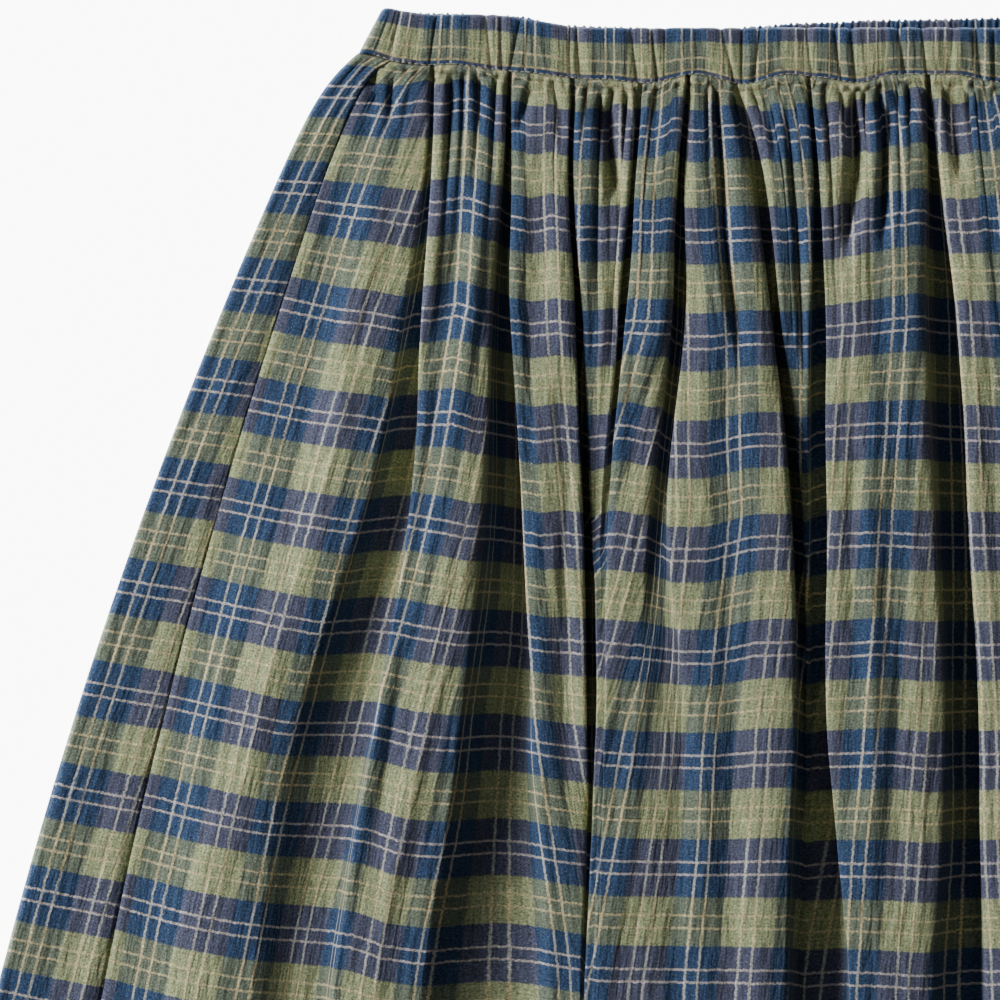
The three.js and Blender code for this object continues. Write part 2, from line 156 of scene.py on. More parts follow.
# Distances at which the check's place on each pleat is given.
CHECK_LEVELS = np.array([100, 175, 200, 260, 370.0])
SLIP_LEVELS = np.array([12, 50, 95, 135, 175, 215, 260, 340.0])

# The pleats: tucks taken at the waist, height of the top at LEVELS, how much the right edge
# stands above the left where the pleat is full, and where the check's warp sits: the
# repeats counted at a share `at` of the pleat's width, at CHECK_LEVELS.
PLEATS = table("gathers crest tilt at repeat", [
    (3, [6.6, 8.8, 11.4, 14.4, 15.4, 14.6, 10.6], 0, 0.0, [0.64] * 5),
    (5, [7, 14, 18, 20, 21.5, 19, 13], 0.5, 0.5, [2.97, 3.19, 3.27, 3.46, 3.59]),
    (4, [7, 13.4, 17, 18.6, 17.6, 9.6, 8.6], 0.6, 0.5, [5.41, 5.35, 5.34, 5.3, 4.97]),
    (5, [7, 13.6, 15, 14.6, 19.4, 17, 12], 0, 0.5, [6.27, 6.35, 7.1, 7.62, 8.09]),
    (3, [7, 14.4, 18.4, 19.6, 20.4, 18, 12.6], 0, 0.5, [7.08, 7.4, 7.5, 7.89, 8.27]),
    (3, [7, 13.6, 18, 20, 21.5, 20, 13.4], 1.8, 0.5, [8.97, 8.94, 9.03, 9.28, 9.48]),
    (5, [7, 13, 15, 10.5, 4, 2.8, 5], 0, 0.5, [9.9, 10.0, 10.05, 10.2, 10.45]),
    (8, [7, 14.6, 19, 21.5, 22, 20, 13.6], 0, 0.5, [10.76, 10.93, 10.99, 11.15, 11.42]),
    (5, [7, 13.4, 16.8, 18.4, 18.6, 16.6, 12], 1, 0.5, [12.79] * 5),
    (6, [7, 14.2, 17.6, 19.2, 19.4, 17, 12], 1.5, 0.5, [14.46] * 5),
    (6, [7, 13.4, 16, 17.2, 17.4, 15, 11], 1, 0.5, [16.24] * 5),
    (4, [6.6, 8.4, 9.8, 11, 11, 9.2, 7], 0, 1.0, [18.4] * 5),
])

# How far the rows of the check hang below their own level, at a share of a pleat's
# width, at SLIP_LEVELS.
SLIPS = table("pleat share hang", [
    (0, 0.0, [7, 8, 6.6, 6, 5, 3, 0.7, -4]),
    (0, 0.5, [6, 8.8, 9.8, 9, 7.5, 5.5, 2.5, -1]),
    (0, 0.9, [2, 8, 10, 9.6, 8.8, 7.2, 5.5, 0.2]),
    (1, 0.1, [3.6, 3.2, 4.5, 4, 2, 2.2, 2.4, 0.2]),
    (1, 0.5, [0.8, 0.9, 1.8, 2.4, 3.1, 3.2, 3, 3]),
    (1, 0.85, [7, 4.4, 4.6, 5.4, 5, 4.6, 3.6, 2.4]),
    (2, 0.3, [10.6, 7.8, 7.2, 6.4, 5.4, 3.6, 1.4, -2]),
    (2, 0.7, [9.6, 4.2, 4, 3, 2.4, 1.4, 1, -2]),
    (3, 0.3, [9.6, 7, 7.2, 6.2, 4, 1.4, 1.2, 1.6]),
    (3, 0.7, [7, 7.4, 6, 5.8, 2.6, 0.8, 0.8, 1]),
    (4, 0.3, [8.4, 4.4, 1.9, 0.8, 1.2, 1.4, 2, 1.6]),
    (4, 0.7, [5, 3.8, 2, 2.6, 2.6, 2, 2.6, 1.6]),
    (5, 0.3, [8.4, 7.4, 7.8, 8, 7.6, 5.4, 3, 1.8]),
    (5, 0.7, [5, 6.6, 6.6, 4.4, 2, 0.6, 1, 2]),
    (6, 0.5, [8, 7.4, 7, 6.4, 5, 4, 3.6, 4.4]),
    (7, 0.1, [7.6, 7.4, 4, 0.8, 0.6, 1.4, 1.8, 2.8]),
    (7, 0.5, [4, 3, 2, -0.3, 0, 0.1, 0.9, 3.4]),
    (7, 0.85, [1.6, 0, 0, -0.4, 0.8, 1.8, 2.6, 4.2]),
    (8, 0.2, [6, 4, 2.4, 1.8, 1.4, 2, 2.4, 3]),
    (8, 0.8, [3, 2, 3.4, 3, 2.2, 1.2, 0.6, 1]),
    (9, 0.3, [8, 6.4, 5.4, 4.4, 3.6, 2.8, 2, 0.6]),
    (9, 0.8, [4, 3, 2.6, 3, 3.4, 3, 2, 1]),
    (10, 0.2, [6.6, 5, 5.2, 4.6, 4, 3, 1.6, -0.6]),
    (10, 0.8, [2.4, 3.6, 5.6, 6.6, 5.8, 4.4, 2.6, -1]),
    (11, 0.5, [5.6, 7.6, 8.2, 7.6, 6.4, 4.4, 1.8, -1.6]),
    (11, 1.0, [6.4, 7, 6, 5.2, 4.4, 2.6, 0.4, -4]),
])

# Creases laid in one by one: their points' places across and down, half width, height (below
# nought for a trough) and how sharp the crest is, 0 soft to 1 sharp.
CREASES = table("across down half height sharp", [
    # short tucks under the waist seam
    ([-175, -176, -179], [4, 16, 36], 1.8, -4.4, 0.6),
    ([-168, -169], [4, 30], 1.6, -3.6, 0.6),
    ([-142, -145, -147], [5, 27, 52], 2.2, -2.8, 0.6),
    ([-134, -133], [5, 26], 1.7, -1.8, 0.7),
    ([-112, -115, -119], [6, 16, 28], 2.0, -3.0, 0.7),
    ([-103, -101], [4, 30], 1.6, -1.6, 0.7),
    ([-81, -80.4, -79], [10, 26, 50], 3.0, -8.5, 0.1),
    ([-88, -88], [4, 22], 1.5, -1.6, 0.8),
    ([-62, -64], [4, 40], 1.6, -2.0, 0.6),
    ([-44, -45], [3, 24], 1.5, -1.5, 0.8),
    ([-37.4, -36.4, -34.6, -32, -27], [5, 28, 62, 86, 120], 2.6, -6.5, 0.5),
    ([-20, -14], [4, 34], 1.7, -2.0, 0.6),
    ([8, 9], [4, 24], 1.6, -1.6, 0.8),
    ([17, 18.4, 17, 13.6], [8, 26, 40, 72], 3.2, -8.5, 0.3),
    ([-9.6, -6, -3.4], [16, 60, 116], 1.3, -4.0, 0.4),
    ([31, 30, 28], [8, 30, 66], 2.3, -7.5, 0.2),
    ([39, 38], [4, 22], 1.5, -1.6, 0.8),
    ([57, 60], [4, 44], 1.9, -5.0, 0.4),
    ([69, 71], [4, 28], 1.6, -1.8, 0.7),
    ([91, 98], [5, 60], 2.2, -6.0, 0.3),
    ([103, 106], [4, 26], 1.6, -1.6, 0.7),
    ([126, 136], [5, 52], 2.0, -5.5, 0.3),
    ([140, 145], [4, 30], 1.6, -1.8, 0.7),
    ([162, 172], [5, 44], 2.0, -2.2, 0.6),
    # long soft folds on the pleats
    ([-188, -201, -214], [60, 130, 220], 6, -1.6, 0.1),
    ([-172, -186, -193], [40, 110, 170], 5, 1.3, 0.2),
    ([-216, -236, -252], [130, 250, 380], 7, 1.0, 0.1),
    ([-207, -201, -197], [290, 330, 372], 2.6, -1.3, 0.4),
    ([-142, -150, -158], [60, 130, 200], 4.5, -1.9, 0.2),
    ([-152, -166, -178], [150, 250, 350], 4, -1.5, 0.3),
    ([-133, -138, -144], [50, 120, 180], 4, 1.2, 0.2),
    ([-112, -112, -114], [40, 110, 200], 4.5, -1.7, 0.2),
    ([-99, -98, -98], [110, 200, 300], 5, -2.4, 0.1),
    ([-122, -124, -130], [200, 290, 400], 4, -1.4, 0.3),
    ([-86, -88, -86], [60, 130, 210], 3, -1.3, 0.3),
    ([-71, -73], [70, 160], 3, -1.0, 0.3),
    ([-53, -55, -56], [210, 300, 420], 6, -2.2, 0.1),
    ([-46, -50], [60, 150], 3.5, -1.3, 0.2),
    ([-32, -33, -33, -36], [90, 180, 290, 440], 8, -2.0, 0),
    ([15, 14, 17], [70, 150, 250], 5, -1.2, 0.1),
    ([31, 32, 34], [80, 180, 280], 4.5, -0.8, 0.2),
    ([22, 24, 26], [120, 240, 380], 4, 1.1, 0.2),
    ([62, 70, 80], [50, 130, 220], 5, -1.7, 0.2),
    ([88, 90, 96], [180, 290, 400], 5, -1.5, 0.2),
    ([101, 108, 118], [60, 140, 240], 5, -1.8, 0.2),
    ([126, 134, 148], [200, 300, 420], 5, -1.4, 0.2),
    ([140, 154, 172], [60, 150, 240], 5, -1.7, 0.2),
    ([184, 200, 218], [200, 300, 400], 5, -1.4, 0.2),
    ([178, 196, 214], [40, 120, 200], 5, -1.5, 0.2),
    # towards the hem
    ([-232, -246, -262], [380, 500, 640], 8, -1.6, 0.1),
    ([-206, -214, -222], [400, 520, 700], 7, -1.5, 0.1),
    ([-176, -184, -190], [420, 560, 700], 6, 1.2, 0.2),
    ([-140, -146, -150], [430, 560, 700], 7, -1.7, 0.1),
    ([-118, -124, -128], [400, 500, 610], 5, 0.8, 0.2),
    ([-96, -100, -104], [440, 560, 700], 6, -1.2, 0.2),
    ([-34, -38, -42], [420, 560, 700], 7, -1.6, 0.1),
    ([26, 30, 34], [400, 540, 700], 6, -1.5, 0.2),
    ([92, 100, 108], [420, 560, 700], 7, -1.5, 0.1),
    ([140, 154, 166], [440, 580, 700], 6, 1.2, 0.2),
    ([206, 224, 240], [420, 560, 700], 7, -1.5, 0.1),
    ([252, 272, 290], [380, 520, 660], 8, -1.3, 0.1),
])

# Creases across the front of the band: place at the top and at the seam, and depth.
RUCHES = [
    (-169.2, -168.4, 0.5), (-151.6, -152.8, 1.5), (-130.8, -128.4, 1.6), (-124.4, -123.8, 0.9),
    (-116.8, -120.6, 1.6), (-113.2, -115, 0.6), (-96.8, -96.8, 1.2), (-94, -92.8, 1.7),
    (-84.8, -83.4, 0.5), (-72.4, -69.6, 1.7), (-64, -61.6, 1.6), (-58.8, -58.4, 1.3),
    (-46, -45.6, 0.5), (-36.2, -30.8, 1.6), (-27.6, -27.6, 1.6), (-20.4, -22.8, 1.5),
    (-2, 0.4, 1.1), (9.2, 12, 1.6), (15.6, 18, 1.6), (27, 27.4, 0.6),
    (34.8, 38, 1.7), (44.2, 46.4, 1.7), (57, 56, 0.9), (66, 68.4, 1.6),
    (73, 73.6, 1.4), (88, 86, 1.6), (97.6, 99, 1.1), (104, 106.6, 1.6),
    (119, 118, 1.6), (127, 129, 1.0), (135, 136.4, 1.6), (148.6, 147, 1.5),
    (157, 158.6, 1.2), (168.4, 168, 0.6),
]
RUCHE_HALF, RUCHE_LIFT, RUCHE_CUT, RUCHE_SHARP = 0.8, 0.5, 0.95, 0.6
RUFFLE_DEPTH, RUFFLE_LIFT = 0.6, 0.7  # of the band's back
BAND_PUFF, BAND_PINCH, PINCH_REACH = 0.5, 0.22, 1.1

# The band's warp: place across the front of a stripe's middle, half a repeat apart.
BAND_STRIPES = [
    -184, -166.2, -147.2, -128.4, -113.0, -95.4, -80.8, -66.6, -50.0, -34.4, -19.8,
    -4.4, 9.0, 24.6, 37.0, 51.6, 67.6, 84.0, 99.6, 116.4, 131.2, 147.6, 163.6, 181.0,
]

BAND_FRONT_STEPS, BAND_BACK_STEPS = 860, 700
# The navy strip turned in along the seam, and its groove.
TURNED_STRIP, DITCH_DEPTH, DITCH_HALF = 1.7, 0.7, 0.35
BAND_WEFT = FIRST_NAVY + NAVY_BAND + 14.8
BAND_TAKE_UP = 1.08  # cloth length for each length of the band's height
TURNED_SHIFT, BACK_WEFT_SHIFT = 9.0, 4.0

# Small ripples: seed, number of waves, their lengths across, how far down they wander,
# and height.
RIPPLES = {
    "crinkles": (11, 7, (5.5, 11), (9, 30), 0.3),
    "soft folds": (12, 5, (16, 34), (24, 70), 0.75),
    "sideways": (13, 4, (30, 70), (14, 40), 0.6),
    "puckers": (14, 4, (2.4, 4.6), (8, 20), 1.15),
    "back crinkles": (21, 6, (5.5, 11), (9, 30), 0.24),
    "back soft folds": (22, 4, (14, 30), (24, 70), 0.45),
    "band": (31, 5, (6, 14), (6, 14), 0.22),
    "ruffle": (32, 4, (2.0, 3.8), (12, 30), 1.0),
    "band lean": (33, 3, (14, 30), (8, 20), 0.35),
}

# ---- shared curves


def smooth(low, high, value):
    """Nought below `low`, one above `high`, and 3t^2 - 2t^3 between them."""
    t = np.clip((value - low) / (high - low), 0, 1)
    return t * t * (3 - 2 * t)


def along(values, distance):
    """A fold table's column at a distance: one cubic through the values at LEVELS."""
    values = np.asarray(values, float)
    last = len(LEVELS) - 1
    before = np.maximum(np.arange(last + 1) - 1, 0)
    after = np.minimum(np.arange(last + 1) + 1, last)
    slopes = (values[after] - values[before]) / (LEVELS[after] - LEVELS[before])
    i = np.clip(np.searchsorted(LEVELS, distance, side="left") - 1, 0, last - 1)
    span = LEVELS[i + 1] - LEVELS[i]
    t = np.clip((distance - LEVELS[i]) / span, 0, 1)
    rise = values[i + 1] - values[i]
    start_bend = slopes[i] * span - rise
    end_bend = rise - slopes[i + 1] * span
    return values[i] + rise * t + t * (1 - t) * (start_bend * (1 - t) + end_bend * t)


def half_width(distance):
    """Half the flat width: the waist's, a quick kick at the hip, and an easing flare."""
    kick = HIP_KICK * (1 - np.exp(-distance / HIP_KICK_REACH))
    return WAIST_HALF + kick + FLARE * distance - FLARE_EASE * distance**2


def seam_place(distance):
    """Side seam's distance from the middle: the half width less a growing inset."""
    inset = SEAM_INSET + SEAM_INSET_GROWTH * distance - SEAM_INSET_EASE * distance**2
    return half_width(distance) - inset


def row_distance(x, down):
    """Distance below the seam of a cut row: it rides up with the cube of its place across."""
    lift = SIDE_LIFT * (1 - np.exp(-down / SIDE_LIFT_REACH))
    return down - lift * np.minimum(np.abs(x) / half_width(down), 1) ** 3


def seam_on_row(down):
    """Where a cut row crosses the side seam."""
    return seam_place(row_distance(seam_place(down), down))


def sag_at(x, sags):
    """Sag of the relaxed waist: smooth steps inwards from the side edges."""
    inward = WAIST_HALF - np.abs(x)
    return sum(depth * smooth(begins, ends, inward) for depth, begins, ends in sags)


def droop(x, steps):
    """A droop of the seam: a smooth step from each of the given places to the next."""
    places, drops = np.array(steps, float).T
    i = np.clip(np.searchsorted(places, x) - 1, 0, len(places) - 2)
    return drops[i] + (drops[i + 1] - drops[i]) * smooth(places[i], places[i + 1], x)


def front_sag(x, reach):
    """The front's sag, with the seam's droop held to a share of it, `reach`."""
    return sag_at(x, FRONT_SAGS) + droop(x, SEAM_DROOPS) * reach


def back_sag(x, reach):
    """The back's sag, with its own droop held to a share of it, `reach`."""
    return sag_at(x, BACK_SAGS) + droop(x, BACK_DROOPS) * reach


def ripple(name, across, down):
    """A small uneven ripple: a sum of sines across, each slowly wandering with distance."""
    seed, waves, lengths, stretch, height = RIPPLES[name]
    rng = np.random.default_rng(seed)
    total = np.zeros(np.broadcast(across, down).shape)
    for _ in range(waves):
        length = rng.uniform(*lengths)
        phase, drift_phase = rng.uniform(0, 2 * np.pi, 2)
        drift = rng.uniform(0.6, 1.6) * np.sin(down / rng.uniform(*stretch) + drift_phase)
        strength = 0.6 + 0.4 * np.sin(down / rng.uniform(*stretch) + phase)
        total = total + strength * np.sin(2 * np.pi * across / length + phase + drift)
    return height * total / np.sqrt(waves)


def cloth_run(x, z):
    """Length of cloth along each row, from its left end."""
    step = np.hypot(np.diff(x, axis=1), np.diff(z, axis=1))
    return np.concatenate([np.zeros((len(x), 1)), np.cumsum(step, axis=1)], axis=1)


def bell(value, half):
    """One at nought, falling off evenly on both sides: e^-1 at `half`."""
    return np.exp(-((value / half) ** 2))


def scatter(number, turn, start):
    """An uneven value from -1 to 1 for each whole number."""
    return np.sin(turn * number + start)


# ---- meshes


def outward(points, faces):
    """Turns every face round if the closed mesh's volume comes out negative."""
    a, b, c, d = (points[faces[:, k]] for k in range(4))
    twice = np.cross(c - a, d - b)
    volume = np.einsum("ij,ij->", (a + b + c + d) / 4, twice)
    return faces if volume > 0 else faces[:, ::-1]


def add(name, data):
    """A new object in the scene, at the origin."""
    thing = bpy.data.objects.new(name, data)
    bpy.context.scene.collection.objects.link(thing)
    return thing


def make_piece(name, points, faces, uv, material):
    """A smooth mesh object from points in millimetres, which are moved from the waist
    seam's own frame to the skirt's. It has one UV map."""
    points = points + np.array([0.0, WAIST_Y, 0.0])
    faces = outward(points, faces)
    mesh = bpy.data.meshes.new(name)
    mesh.from_pydata((points * MM).tolist(), [], faces.tolist())
    mesh.update()
    layer = mesh.uv_layers.new(name="cloth")
    loops = np.empty(len(mesh.loops), dtype=np.int32)
    mesh.loops.foreach_get("vertex_index", loops)
    layer.data.foreach_set("uv", (uv[loops] * MM).astype(np.float32).ravel())
    mesh.polygons.foreach_set("use_smooth", np.ones(len(mesh.polygons), dtype=bool))
    mesh.materials.append(material)
    piece = add(name, mesh)
    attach(piece, "root")
    return piece


def grid_normals(points):
    """Unit normals of a grid of points: the row direction crossed with the column one."""
    down = np.gradient(points, axis=0)
    across = np.gradient(points, axis=1)
    normal = np.cross(down, across)
    return normal / np.maximum(np.linalg.norm(normal, axis=2, keepdims=True), 1e-9)


def quads(*corners):
    """Four-cornered faces, from a grid of point numbers for each corner."""
    return np.stack(corners, axis=-1).reshape(-1, 4)


def cloth_wall(middle, uv, thickness):
    """A closed wall round a grid of middle points: half its thickness out and in."""
    rows, columns = middle.shape[:2]
    normal = grid_normals(middle)
    half = normal * (np.broadcast_to(thickness, middle.shape[:2])[..., None] / 2)
    points = np.concatenate([(middle + half).reshape(-1, 3), (middle - half).reshape(-1, 3)])
    number = np.arange(rows * columns).reshape(rows, columns)
    inner = rows * columns
    top = quads(number[:-1, :-1], number[1:, :-1], number[1:, 1:], number[:-1, 1:])
    rim = np.concatenate([number[:, 0], number[-1, 1:], number[-2::-1, -1], number[0, -2::-1]])
    a, b = rim[:-1], rim[1:]
    sides = quads(b, a, a + inner, b + inner)
    faces = np.concatenate([top, top[:, ::-1] + inner, sides])
    uv = uv.reshape(-1, 2)
    return points, faces, np.concatenate([uv, uv])


def ring_loop(sections, uv):
    """A closed ring of closed sections: each joined to the next, the last to the first."""
    count, around = sections.shape[:2]
    number = np.arange(count * around).reshape(count, around)
    there = np.roll(number, -1, axis=0)
    faces = quads(number, there, np.roll(there, -1, axis=1), np.roll(number, -1, axis=1))
    return sections.reshape(-1, 3), faces, uv.reshape(-1, 2)


def thread_tube(path, radius, sides=6):
    """A thread along a path: rings square to it, tapering to nothing at both ends."""
    tangent = np.gradient(path, axis=0)
    tangent /= np.linalg.norm(tangent, axis=1, keepdims=True)
    up = np.array([0.0, 0.0, 1.0])
    side = np.cross(tangent, up)
    side /= np.maximum(np.linalg.norm(side, axis=1, keepdims=True), 1e-9)
    rise = np.cross(side, tangent)
    taper = np.ones(len(path))
    taper[[0, -1]] = 0.02
    angle = 2 * np.pi * np.arange(sides) / sides
    cosine, sine = np.cos(angle)[None, :, None], np.sin(angle)[None, :, None]
    ring = side[:, None] * cosine + rise[:, None] * sine
    points = (path[:, None] + ring * (radius * taper)[:, None, None]).reshape(-1, 3)
    number = np.arange(len(path) * sides).reshape(-1, sides)
    here, there = number[:-1], number[1:]
    return points, quads(here, np.roll(here, -1, axis=1), np.roll(there, -1, axis=1), there)


# ---- the front panel


def pleat_start(index, distance):
    """Left edge of a pleat: the side seam for the first, else the valley's right edge."""
    if index == 0:
        return -seam_place(distance) + SEAM_GAP / 6
    valley = VALLEYS[index - 1]
    return along(valley.left, distance) + along(valley.width, distance)


def pleat_end(index, distance):
    """Right edge of a pleat: the side seam for the last, else the next valley's left."""
    if index == len(VALLEYS):
        return seam_place(distance) - SEAM_GAP / 6
    return along(VALLEYS[index].left, distance)


def step_share(index, distance, crest):
    """How far a valley's bottom lies below a crest, as a share of a full step; past the
    side seams it is one."""
    if not 0 <= index < len(VALLEYS):
        return 1.0
    return smooth(1, FULL_STEP, crest - along(VALLEYS[index].floor, distance))


def pleat_height(index, share, distance):
    """Height of a pleat: its crest, rounded down to each valley as far as that is deep."""
    crest = along(PLEATS[index].crest, distance)
    full = np.minimum(crest / FULL_PLEAT, 1) * smooth(0, LEVELS[1], distance)
    crest = crest + PLEATS[index].tilt * (share - 0.5) * full
    to_left = LEFT_BRINK_DROP * full * step_share(index - 1, distance, crest)
    to_right = RIGHT_BRINK_DROP * full * step_share(index, distance, crest)
    if 0 < index < len(VALLEYS):
        turn = 2 * share - 1
        return crest - np.where(turn < 0, to_left, to_right) * np.abs(turn) ** BRINK_ROUND
    from_seam = share if index == 0 else 1 - share
    drop = to_right if index == 0 else to_left
    rise = (crest - SIDE_SEAM_HEIGHT) * smooth(0, SIDE_RISE, from_seam)
    return SIDE_SEAM_HEIGHT + rise - drop * from_seam**BRINK_ROUND


def tuck_places(index):
    """Where a pleat's tucks lie, as shares of its width: unevenly spaced, ends fixed."""
    count = PLEATS[index].gathers
    rng = np.random.default_rng(500 + index)
    shift = rng.uniform(-TUCK_SHIFT, TUCK_SHIFT, count + 1)
    shift[[0, -1]] = 0
    return (np.arange(count + 1) + shift) / count


def tuck_turn(index, share):
    """Place in a pleat counted in tucks: a whole number at each tuck's bottom."""
    places = tuck_places(index)
    return np.interp(share, places, np.arange(len(places)))


def gather_depth(index, share, distance):
    """Small tucks under the seam: a cosine for each, with a narrow slit in its bottom,
    each with a depth and a reach of its own."""
    turn = tuck_turn(index, share)
    tuck = np.rint(turn)
    wobble = scatter(tuck + 7 * index, *DEPTH_SCATTER)
    second = scatter(tuck + 3 * index, *REACH_SCATTER)
    reach = GATHER_REACH * (1.6 + 1.1 * second)
    slit = bell(turn - tuck, SLIT_WIDTH * (1.3 + 0.5 * wobble))
    shape = TUCK_ROUND * (1 + np.cos(2 * np.pi * turn)) * smooth(2.2, 4.4, distance)
    shape = shape + TUCK_SLIT * slit * smooth(4, 9 + 4 * second, distance)
    return GATHER_DEPTH * (1 + TUCK_UNEVEN * wobble) * shape * np.exp(-distance / reach)


def seam_ridge(distance):
    """The turned allowances under the seam: a low flat ridge with a groove below it."""
    ridge = smooth(*ALLOWANCE_RISE, distance) * (1 - smooth(*ALLOWANCE_FALL, distance))
    groove = bell(distance - GROOVE_PLACE, SEAM_GROOVE_HALF)
    return ALLOWANCE_RIDGE * ridge - ALLOWANCE_GROOVE * groove


def crease_height(x, distance):
    """Creases: for each, a bell or a sharper crest across its path, tapered at its ends."""
    total = np.zeros(x.shape)
    for crease in CREASES:
        start, end = crease.down[0], crease.down[-1]
        middle = np.interp(distance, crease.down, crease.across)
        off = np.abs(x - middle) / crease.half
        crest = np.exp(-1.6 * off)
        shape = crease.sharp * crest + (1 - crease.sharp) * bell(off, 1)
        taper = CREASE_TAPER * (end - start)
        ends = smooth(start - taper / 3, start + 0.6 * taper, distance)
        ends = ends * (1 - smooth(end - taper, end + 0.3 * taper, distance))
        total += crease.height * shape * ends
    return total


def front_strip(kind, index, share, distance):
    """Place across and height of one strip, a pleat or a valley, at shares of its width."""
    if kind == "pleat":
        start, end = pleat_start(index, distance), pleat_end(index, distance)
        return start + (end - start) * share, pleat_height(index, share, distance)
    valley = VALLEYS[index]
    floor = along(valley.floor, distance)
    shift = smooth(SKEW_BEGINS, SKEW_ENDS, distance)
    skew = 0.5 * (1 - shift) + valley.skew * shift
    on_left = share < skew
    wall = np.where(on_left, 1 - share / skew, (share - skew) / (1 - skew))
    left_brink = pleat_height(index, 1.0, distance)
    right_brink = pleat_height(index + 1, 0.0, distance)
    brink = np.where(on_left, left_brink, right_brink)
    lean = LIP_OVERHANG * np.maximum(brink - floor, 0) / FULL_PLEAT * 4 * wall * (1 - wall)
    x = along(valley.left, distance) + along(valley.width, distance) * share
    x = np.where(on_left, x - lean / 2, x + lean * TUCKED_UNDER)
    return x, floor + (brink - floor) * wall ** np.where(on_left, 2, FAR_WALL_CURVE)


TUCK_STEPS, VALLEY_STEPS = (0, 0.09, 0.24, 0.5, 0.76, 0.91), 8


def front_strips():
    """The strips from left to right, each with its shares; edges belong to the pleats."""
    strips = []
    for index, pleat in enumerate(PLEATS):
        places = tuck_places(index)
        turns = (np.arange(pleat.gathers)[:, None] + TUCK_STEPS).ravel()
        turns = np.append(turns, pleat.gathers)
        shares = np.interp(turns, np.arange(len(places)), places)
        strips.append(("pleat", index, shares))
        if index < len(VALLEYS):
            strips.append(("valley", index, np.linspace(0, 1, VALLEY_STEPS + 1)[1:-1]))
    return strips


def front_rows():
    """Distances cut down the panel, close together under the seam and wider below."""
    spans = [(0, 8, 10), (8, 40, 20), (40, 130, 24), (130, 300, 25), (300, 680, 25)]
    rows = [np.linspace(start, end, steps + 1)[:-1] for start, end, steps in spans]
    return np.concatenate(rows + [[680, 681.4, 682.6, 684, 690, 696, 699, 700.0]])


def hem_thickness(down):
    """The wall is thicker over the turned hem, with a step at the hem's stitching."""
    begins = SKIRT_LENGTH - HEM_DEPTH
    return CLOTH + HEM_EXTRA * smooth(begins, begins + HEM_STEP, down)


def weft_place(down):
    """Place of a cut row in the check: the row plus the little taken up by the gathers."""
    return down + WEFT_TAKE_UP * (1 - np.exp(-down / WEFT_TAKE_UP_REACH))


def front_panel():
    """The pleated front: strips side by side along each cut row, with tucks, creases and
    a fine ripple added, and its check carried along the cloth from each pleat's own mark."""
    down = front_rows()[:, None]
    strips = front_strips()
    xs, zs, fine = [], [], []
    for kind, index, share in strips:
        share = share[None, :]
        rough_x, _ = front_strip(kind, index, share, down)
        distance = row_distance(rough_x, down)
        x, z = front_strip(kind, index, share, distance)
        xs.append(x)
        zs.append(z)
        if kind == "pleat":
            fine.append(gather_depth(index, share, distance))
        else:
            depth = VALLEY_TUCKS * gather_depth(index, 1.0, distance)
            fine.append(depth * np.ones(x.shape))
    x = np.concatenate(xs, axis=1)
    z_plain = np.concatenate(zs, axis=1)
    distance = row_distance(x, down)
    run = cloth_run(x, z_plain)
    u, hang = np.full((2, *x.shape), np.nan)
    gather_up = 1 + WARP_TAKE_UP * np.exp(-down / WARP_TAKE_UP_REACH)
    first = 0
    for kind, index, share in strips:
        last = first + len(share)
        if kind == "pleat":
            pleat = PLEATS[index]
            here = run[:, first:last]
            start, end = here[:, :1], here[:, -1:]
            mark = start + (end - start) * pleat.at
            repeat = np.interp(down, CHECK_LEVELS, pleat.repeat)
            u[:, first:last] = repeat * WARP_REPEAT + (here - mark) * gather_up
            slips = [slip for slip in SLIPS if slip.pleat == index]
            hangs = [np.interp(down[:, 0], SLIP_LEVELS, slip.hang) for slip in slips]
            places = [slip.share for slip in slips]
            hang[:, first:last] = [np.interp(share, places, row) for row in np.transpose(hangs)]
            turn = tuck_turn(index, share)
            tuck = np.rint(turn)
            before = scatter(tuck - 1 + 11 * index, *STAGGER_SCATTER)
            after = scatter(tuck + 11 * index, *STAGGER_SCATTER)
            stagger = before + (after - before) * smooth(-0.16, 0.16, turn - tuck)
            hang[:, first:last] += TUCK_STAGGER * stagger * np.exp(-down / STAGGER_REACH)
        first = last
    column = np.arange(x.shape[1], dtype=float)
    known = ~np.isnan(u[0])
    for r in range(len(down)):
        u[r] = np.interp(run[r], run[r, known], u[r, known])
        hang[r] = np.interp(column, column[known], hang[r, known])
    z = z_plain - np.concatenate(fine, axis=1) + seam_ridge(distance)
    z = z + crease_height(x, distance)
    pucker = smooth(0.8, 2.6, distance) * np.exp(-distance / PUCKER_REACH)
    z = z + pucker * ripple("puckers", x + PUCKER_SLANT * distance, distance)
    near_seam = bell(np.abs(x) - seam_place(distance), SEAM_GROOVE_HALF)
    z = z - SEAM_GROOVE * near_seam
    away = smooth(*RIPPLES_BEGIN, distance) * (1 - 0.7 * near_seam)
    z = z + away * ripple("crinkles", u, down)
    z = z + away * smooth(*FOLDS_BEGIN, distance) * ripple("soft folds", u, down)
    z = np.maximum(z, LOWEST_MIDDLE)
    x = x + away * ripple("sideways", u, down)
    y = -front_sag(x, np.exp(-distance / SEAM_DROOP_REACH)) - distance
    middle = np.stack([x, y, z], axis=-1)
    v = weft_place(down) - hang
    uv = np.stack([u, np.broadcast_to(v, u.shape)], axis=-1)
    return middle, uv, hem_thickness(down) * np.ones(x.shape)


# ---- the back panel


